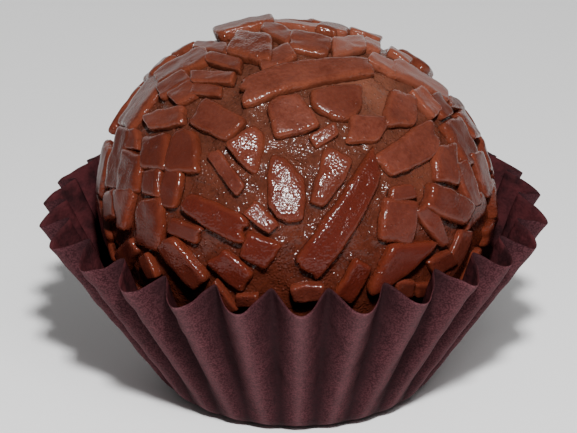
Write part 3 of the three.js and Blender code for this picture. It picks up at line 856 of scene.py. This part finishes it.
# Direction of the middle of a spot of painted light, its reach in mm, and its strength there.
PAINTED_LIGHT_SPOTS = np.array([[0.40, -0.34, 0.85, 4.0, 1.0], [0.66, -0.62, 0.425, 3.2, 0.55]])
base = skin_radius(fudge_ways)
exposed = np.clip((fudge_ways[:, 2] - BASE_LEVEL) / BASE_BLEND, 0, 1)
relief = climbing(fudge_ways) - FUDGE_HOLLOW
for size, height, seed in LUMP_SIZES:
    relief = relief + height * lumps(fudge_ways * BALL_SIDE, size, seed)
fudge_points = fudge_ways * (base + relief * exposed)[:, None] + BALL_CENTRE + SHIFT
dryness = np.zeros(len(fudge_ways))
for spot in PAINTED_LIGHT_SPOTS:
    away = BALL_SIDE * np.linalg.norm(fudge_ways - unit(spot[:3]), axis=-1)
    dryness += spot[4] * np.exp(-(away / spot[3]) ** 2)
fudge = make_piece("fudge_ball", fudge_points, *ring_faces(FUDGE_RINGS, FUDGE_COLUMNS),
                   low=lowness(fudge_ways), dry=dryness)
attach(fudge, "root")
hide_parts("brigadeiro")

# %% [markdown]
# ## Finishes
#
# All three materials are uneven in the same two ways: their colour changes in
# soft patches, and their surface has a fine grain that breaks up the highlights.
# Each way is a node group, made once, and each material gives it its own sizes.
# A few helpers keep the node trees short enough to read.

# %% Helpers for nodes
def new_group(name, inputs, outputs):
    """A group with those sockets, what it is given, and the node for what it makes."""
    tree = bpy.data.node_groups.new(name, "ShaderNodeTree")
    for label, (kind, value) in inputs.items():
        socket = tree.interface.new_socket(label, in_out="INPUT", socket_type="NodeSocket" + kind)
        if value is not None:
            socket.default_value = value
    for label, kind in outputs.items():
        tree.interface.new_socket(label, in_out="OUTPUT", socket_type="NodeSocket" + kind)
    return tree, tree.nodes.new("NodeGroupInput").outputs, tree.nodes.new("NodeGroupOutput")


def join(node, **sockets):
    """Joins or sets a node's inputs, by name with _ for a space, or as i and a number."""
    for label, value in sockets.items():
        numbered = label[0] == "i" and label[1:].isdigit()
        socket = node.inputs[int(label[1:]) if numbered else label.replace("_", " ")]
        if isinstance(value, bpy.types.NodeSocket):
            node.id_data.links.new(value, socket)
        else:
            socket.default_value = value
    return node


def add(tree, kind, settings=(), **sockets):
    """A new node with its settings made and its inputs joined."""
    node = tree.nodes.new("ShaderNode" + kind)
    for label, value in dict(settings).items():
        setattr(node, label, value)
    return join(node, **sockets)


def tree_of(*values):
    """The node tree of whichever values are sockets."""
    return next(value.id_data for value in values if isinstance(value, bpy.types.NodeSocket))


def maths(operation, first, second, clamped=False):
    """The result of one Math node, kept from 0 to 1 where clamped says so."""
    settings = {"operation": operation, "use_clamp": clamped}
    return add(tree_of(first, second), "Math", settings, i0=first, i1=second).outputs[0]


def times(first, second):
    """The product of two numbers."""
    return maths("MULTIPLY", first, second)


def blend(share, first, second, way="MIX"):
    """The colour a share of the way from the first to the second, or to their product."""
    settings = {"data_type": "RGBA", "blend_type": way}
    tree = tree_of(share, first, second)
    return add(tree, "Mix", settings, i0=share, i6=first, i7=second).outputs[2]


def pattern_scale(size_mm):
    """The scale that makes a pattern's cells size_mm wide, as places are in metres."""
    return maths("DIVIDE", 1 / MM, size_mm)


def mark(tree, name):
    """The number that the mesh holds under that name at each point."""
    return add(tree, "Attribute", {"attribute_name": name}).outputs["Fac"]


print("helpers ready")

# %% [markdown]
# The first group makes patches. A noise texture is sampled at the place divided
# by the patch size, pushed to more contrast, and mixes a dark and a light colour.

# %% Group for patches of colour
patches, given, made = new_group(
    "colour patches",
    {"Place": ("Vector", None), "Patch Size mm": ("Float", 3.0),
     "Contrast": ("Float", 1.0), "Detail": ("Float", 3.0),
     "Dark": ("Color", None), "Light": ("Color", None)},
    {"Colour": "Color", "Mask": "Float"})
noise = add(patches, "TexNoise", Vector=given["Place"], Detail=given["Detail"], Roughness=0.6,
            Scale=pattern_scale(given["Patch Size mm"]))
centred = maths("SUBTRACT", noise.outputs["Fac"], 0.5)
pushed = times(centred, given["Contrast"])
mask = maths("ADD", pushed, 0.5, clamped=True)
colour = blend(mask, given["Dark"], given["Light"])
join(made, Colour=colour, Mask=mask)
print("group", patches.name)

# %% [markdown]
# The second group makes the grain, as a height for a Bump node. It starts with two
# noises, one a few times coarser than the other. Unless a material asks for them,
# there are neither beads nor calm patches.

# %% Group for surface grain
COARSER = 4.0
grain, given, made = new_group(
    "surface grain",
    {"Place": ("Vector", None), "Grain Size mm": ("Float", 0.2),
     "Coarse Share": ("Float", 0.5), "Bead Size mm": ("Float", 0.3),
     "Bead Share": ("Float", 0.0), "Bead Height": ("Float", 0.0),
     "Calm Patch mm": ("Float", 1.5), "Calm Share": ("Float", 0.0)},
    {"Height": "Float"})
spot = given["Place"]
fine_scale = pattern_scale(given["Grain Size mm"])
coarse_scale = maths("DIVIDE", fine_scale, COARSER)
fine = add(grain, "TexNoise", Vector=spot, Scale=fine_scale, Detail=0.0)
coarse = add(grain, "TexNoise", Vector=spot, Scale=coarse_scale, Detail=1.0)
coarse_height = times(coarse.outputs["Fac"], given["Coarse Share"])
print("noises of the grain:", fine.name, "and", coarse.name)

# %% [markdown]
# Syrup stands on the chocolate in tiny round beads, and each shows the lamp as one
# bright dot. A Voronoi pattern cuts space into cells and gives the distance from
# the middle of each, so 1 - (distance / radius) squared is a dome. Every cell has
# a random colour too, and only cells whose red is below the share get a bead.

# %% Beads of the grain
BEAD_RADIUS = 0.38
cells = add(grain, "TexVoronoi", Vector=spot, Scale=pattern_scale(given["Bead Size mm"]))
off_middle = maths("DIVIDE", cells.outputs["Distance"], BEAD_RADIUS)
dome = maths("SUBTRACT", 1.0, maths("POWER", off_middle, 2.0), clamped=True)
draw = add(grain, "SeparateColor", Color=cells.outputs["Color"]).outputs["Red"]
chosen = maths("LESS_THAN", draw, given["Bead Share"])
bead_height = times(times(dome, chosen), given["Bead Height"])
print("beads from", cells.name)

# %% [markdown]
# The skin isn't equally rough all over. A slow noise, pushed through a smooth step,
# says where the fine grain is at its full height and where it is calmer.

# %% Calm patches of the grain
CALM_BELOW, ROUGH_ABOVE = 0.42, 0.58
calm_scale = pattern_scale(given["Calm Patch mm"])
calm = add(grain, "TexNoise", Vector=spot, Scale=calm_scale, Detail=2.0)
calmest = maths("SUBTRACT", 1.0, given["Calm Share"])
kept = add(grain, "MapRange", {"interpolation_type": "SMOOTHSTEP"},
           i0=calm.outputs["Fac"], i1=CALM_BELOW, i2=ROUGH_ABOVE, i3=calmest, i4=1.0).outputs[0]
fine_height = times(maths("SUBTRACT", fine.outputs["Fac"], 0.5), kept)
noise_height = maths("ADD", fine_height, coarse_height)
join(made, Height=maths("ADD", noise_height, bead_height))
print("group", grain.name)

# %% [markdown]
# Each finish starts in the same way: a Principled shader, a few values that are
# the same all over, and Object coordinates, which stay with the piece when it is
# exported. The grain goes through a Bump node into the shader's normal.

# %% Helpers for a finish
def new_finish(name, **uniform):
    """A material with a Principled shader, its object coordinates, and uniform values."""
    material = bpy.data.materials.new(name)
    material.use_nodes = True
    tree = material.node_tree
    shader = join(tree.nodes["Principled BSDF"], **uniform)
    return material, tree, shader, add(tree, "TexCoord").outputs["Object"]


def use_group(tree, group, place, **values):
    """The outputs of a shared group, used in a material with that material's values."""
    return add(tree, "Group", {"node_tree": group}, Place=place, **values).outputs


def speckled(tree, place, colour, share, dark, pale):
    """The colour with a share of fine specks, from dark to pale, mixed into it."""
    specks = use_group(tree, patches, place, Patch_Size_mm=0.3, Contrast=4.5, Detail=2.0,
                       Dark=dark, Light=pale)
    return blend(share, colour, specks["Colour"])


def add_grain(tree, shader, place, depth_mm, share, **values):
    """Joins a surface grain of that depth, or a share of it, to the shader's normal."""
    heights = use_group(tree, grain, place, **values)
    height = times(heights["Height"], share)
    bump = add(tree, "Bump", Height=height, Strength=1.0, Distance=depth_mm * MM)
    join(shader, Normal=bump.outputs["Normal"])


print("finishes can be made")

# %% [markdown]
# ### Milk chocolate
#
# Milk chocolate lets a little light in and out again, red most of all, so it looks
# soft, and a thin melted edge looks lighter and more orange than a top; the edge
# colour paints that glow. Fine specks keep its colour from looking like paint. The
# mesh carries the edge, the flake's tone, how rich it is and how low it lies as
# marks, and the colours are mixed by them one after the other. The tone is partly
# random and partly painted shade and light, and low down the colour is darkened as
# painted shade. A negative share counts as none, so a tone above 0 darkens a flake
# and a tone below 0 makes it paler.

# %% Colours of the flakes
CHOCOLATE_DARK, CHOCOLATE_LIGHT = (0.048, 0.0092, 0.0050, 1), (0.130, 0.0368, 0.0222, 1)
CHOCOLATE_PALE_AND_LIT, CHOCOLATE_RICH = (0.200, 0.066, 0.042, 1), (0.056, 0.0090, 0.0050, 1)
CHOCOLATE_EDGE_GLOW, CHOCOLATE_LOW_SHADE = (0.158, 0.038, 0.0150, 1), (0.93, 0.77, 0.82, 1)
FLAKE_SPECKS = 0.12
MOST_DEEP, MOST_LIT_PALE, MOST_RICH, MOST_EDGE_GLOW = 0.72, 0.45, 0.75, 0.6
chocolate, tree, shader, place = new_finish(
    "milk chocolate", Specular_IOR_Level=0.17, Subsurface_Weight=0.12,
    Subsurface_Scale=0.0006, Subsurface_Radius=(1.0, 0.35, 0.15))
patchy = use_group(tree, patches, place, Patch_Size_mm=2.2, Contrast=1.25, Detail=3.0,
                   Dark=CHOCOLATE_DARK, Light=CHOCOLATE_LIGHT)
tone_mark, edge_mark = mark(tree, "tone"), mark(tree, "edge")
mottled = speckled(tree, place, patchy["Colour"], FLAKE_SPECKS,
                   CHOCOLATE_DARK, CHOCOLATE_PALE_AND_LIT)
# A tone above 0 darkens a flake, partly as random tone and partly as painted shade. A tone below 0
# makes it paler as painted light.
toned = blend(times(tone_mark, MOST_DEEP), mottled, CHOCOLATE_DARK)
paled_by_light = blend(times(tone_mark, -MOST_LIT_PALE), toned, CHOCOLATE_PALE_AND_LIT)
enriched = blend(times(mark(tree, "rich"), MOST_RICH), paled_by_light, CHOCOLATE_RICH)
# The lighter, more orange edge colour paints the glow of light through a thin edge.
edge_glow_share = times(times(edge_mark, patchy["Mask"]), MOST_EDGE_GLOW)
edge_glowed = blend(edge_glow_share, enriched, CHOCOLATE_EDGE_GLOW)
# Darker and redder low down: painted shade.
shaded_low_down = blend(mark(tree, "low"), edge_glowed, CHOCOLATE_LOW_SHADE, "MULTIPLY")
join(shader, Base_Color=shaded_low_down)
print("colours of", chocolate.name)

# %% [markdown]
# The tops are satin and the melted edges glossy, and a wet flake is glossy all
# over. The same number sets the roughness and how strongly the grain shows.

# %% Gloss of the flakes
GLOSSY, PATCH_DULLER, SATIN_DULLER = 0.065, 0.1, 0.26
EDGE_GLOSS_POWER = 0.4
LEAST_GRAIN = 0.5
edge_gloss = maths("POWER", edge_mark, EDGE_GLOSS_POWER)
gloss = maths("MAXIMUM", edge_gloss, mark(tree, "wet"))
patch = times(patchy["Mask"], PATCH_DULLER)
satin = times(maths("SUBTRACT", 1.0, gloss), SATIN_DULLER)
duller = maths("ADD", patch, satin)
join(shader, Roughness=maths("ADD", duller, GLOSSY))
grain_share = maths("MAXIMUM", gloss, LEAST_GRAIN)
add_grain(tree, shader, place, depth_mm=0.052, share=grain_share,
          Grain_Size_mm=0.18, Coarse_Share=0.7, Calm_Patch_mm=1.6, Calm_Share=0.4,
          Bead_Size_mm=0.34, Bead_Share=0.16, Bead_Height=0.9)
flakes.data.materials.append(chocolate)
print("finish", chocolate.name)

# %% [markdown]
# ### Fudge
#
# The fudge is duller and browner than the flakes, wet-looking, and full of small
# grains that sparkle. It is painted paler on the front right as painted light, and
# darker and redder low down as painted shade. The mesh carries both as marks.

# %% Finish of the fudge
FUDGE_DARK, FUDGE_LIGHT = (0.037, 0.0118, 0.0068, 1), (0.100, 0.0320, 0.0190, 1)
FUDGE_PALE_AND_LIT, FUDGE_LOW_SHADE = (0.150, 0.054, 0.032, 1), (0.74, 0.47, 0.42, 1)
FUDGE_SPECKS, MOST_PAINTED_LIGHT = 0.14, 0.7
FUDGE_GLOSSY, FUDGE_PATCH_DULLER = 0.065, 0.12
soft_fudge, tree, shader, place = new_finish(
    "soft fudge", Specular_IOR_Level=0.16, Subsurface_Weight=0.1,
    Subsurface_Scale=0.0006, Subsurface_Radius=(1.0, 0.4, 0.15))
patchy = use_group(tree, patches, place, Patch_Size_mm=1.8, Contrast=1.5, Detail=3.0,
                   Dark=FUDGE_DARK, Light=FUDGE_LIGHT)
# The pale specks are the fudge's own grain. The same pale colour, mixed in on the front right, is
# painted light.
mottled = speckled(tree, place, patchy["Colour"], FUDGE_SPECKS, FUDGE_DARK, FUDGE_PALE_AND_LIT)
lit_fudge = blend(times(mark(tree, "dry"), MOST_PAINTED_LIGHT), mottled, FUDGE_PALE_AND_LIT)
# Darker and redder low down: painted shade.
shaded_low_down = blend(mark(tree, "low"), lit_fudge, FUDGE_LOW_SHADE, "MULTIPLY")
join(shader, Base_Color=shaded_low_down)
patch = times(patchy["Mask"], FUDGE_PATCH_DULLER)
join(shader, Roughness=maths("ADD", patch, FUDGE_GLOSSY))
add_grain(tree, shader, place, depth_mm=0.1, share=1.0,
          Grain_Size_mm=0.19, Coarse_Share=0.25, Calm_Patch_mm=1.3, Calm_Share=0.6,
          Bead_Size_mm=0.3, Bead_Share=0.4, Bead_Height=0.55)
fudge.data.materials.append(soft_fudge)
print("finish", soft_fudge.name)

# %% [markdown]
# ### Glassine paper
#
# The paper is matt and fibrous: dusky maroon outside, and a deeper, blotchier red
# inside. Its ridges are painted a little paler as a painted highlight, and its folds
# darker as painted shade. Noise with small cells and a high contrast does for the
# fibres.

# %% Colours of the paper
PAPER_DARK, PAPER_LIGHT = (0.0288, 0.0072, 0.0098, 1), (0.066, 0.0166, 0.0216, 1)
FIBRE_DARK, FIBRE_LIGHT = (0.0110, 0.0030, 0.0043, 1), (0.098, 0.0365, 0.0420, 1)
LINING_DARK, LINING_LIGHT = (0.011, 0.0036, 0.0042, 1), (0.046, 0.0100, 0.0115, 1)
PAPER_FOLD_SHADE, PAPER_CREST_HIGHLIGHT = (0.0160, 0.0062, 0.0075, 1), (0.132, 0.063, 0.070, 1)
FIBRE_SHARE, MOST_FOLD_SHADE, MOST_CREST_HIGHLIGHT, MOST_LINED = 0.5, 0.92, 0.3, 0.8
FOLD_POWER, CREST_POWER = 1.05, 9.0
paper, tree, shader, place = new_finish("dark case paper", Specular_IOR_Level=0.03)
patchy = use_group(tree, patches, place, Patch_Size_mm=1.1, Contrast=2.6, Detail=4.0,
                   Dark=PAPER_DARK, Light=PAPER_LIGHT)
fibres = use_group(tree, patches, place, Patch_Size_mm=0.15, Contrast=7.0, Detail=1.0,
                   Dark=FIBRE_DARK, Light=FIBRE_LIGHT)
blotchy = use_group(tree, patches, place, Patch_Size_mm=1.6, Contrast=4.0, Detail=4.0,
                    Dark=LINING_DARK, Light=LINING_LIGHT)
ridge_mark = mark(tree, "ridge")
mixed = blend(FIBRE_SHARE, patchy["Colour"], fibres["Colour"])
# The folds are darkened as painted shade, and the crests lightened as a painted highlight.
fold_shade = maths("SUBTRACT", 1.0, maths("POWER", ridge_mark, FOLD_POWER))
fold_shaded = blend(times(fold_shade, MOST_FOLD_SHADE), mixed, PAPER_FOLD_SHADE)
crest_highlight = times(maths("POWER", ridge_mark, CREST_POWER), MOST_CREST_HIGHLIGHT)
crest_lit = blend(crest_highlight, fold_shaded, PAPER_CREST_HIGHLIGHT)
lined = blend(times(mark(tree, "inside"), MOST_LINED), crest_lit, blotchy["Colour"])
join(shader, Base_Color=lined)
print("colours of", paper.name)

# %% Roughness and grain of the paper
PAPER_ROUGHNESS, FIBRE_DULLER = 0.68, 0.2
dull = times(fibres["Mask"], FIBRE_DULLER)
join(shader, Roughness=maths("ADD", dull, PAPER_ROUGHNESS))
add_grain(tree, shader, place, depth_mm=0.04, share=1.0, Grain_Size_mm=0.2, Coarse_Share=2.0)
case.data.materials.append(paper)
print("finish", paper.name)
